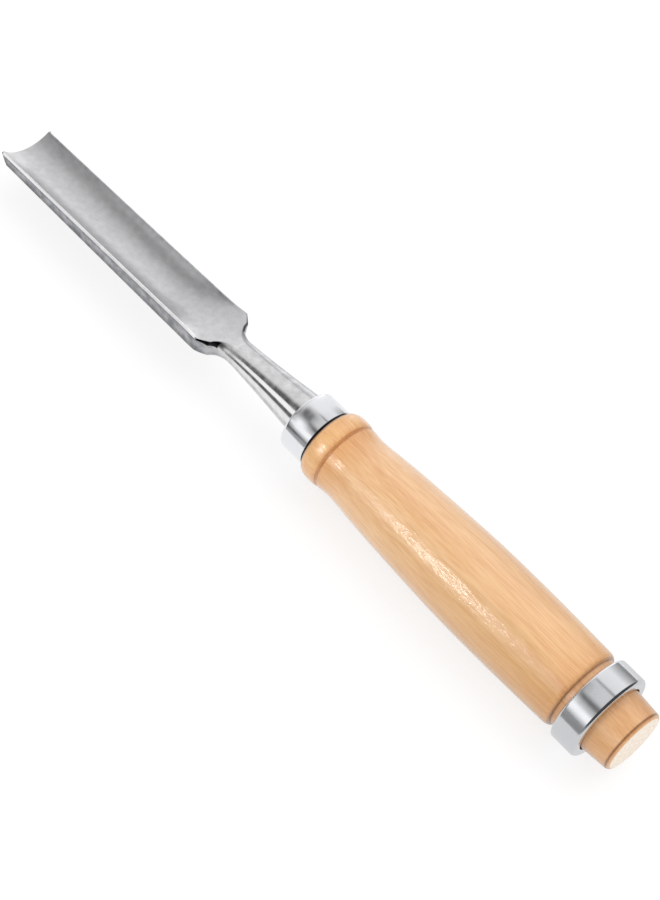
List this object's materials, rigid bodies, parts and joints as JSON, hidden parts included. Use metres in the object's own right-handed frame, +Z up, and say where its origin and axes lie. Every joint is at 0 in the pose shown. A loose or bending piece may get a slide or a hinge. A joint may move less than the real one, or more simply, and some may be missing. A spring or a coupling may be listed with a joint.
{
  "type": "carving gouge",
  "caption": "Wood carving gouge with a long hollow blade, square shoulders and neck, a ferrule, and a turned wooden handle with a striking hoop.",
  "frame": {"origin": "centre of the flat end of the handle that the mallet strikes", "axes": "+X along the tool to the cutting edge, +Z up out of the hollow of the blade, Y across the blade"},
  "size_m": [0.2899, 0.0308, 0.0308],
  "materials": {
    "blade_steel": "ground and polished tool steel with fine marks",
    "ferrule_chrome": "bright chrome plate",
    "handle_wood": "pale turned hardwood under clear lacquer",
    "hoop_chrome": "bright chrome plate"
  },
  "bodies": {
    "root": {"blade": "blade_steel", "front_ferrule": "ferrule_chrome", "handle": "handle_wood", "rear_hoop": "hoop_chrome"}
  },
  "joints": []
}
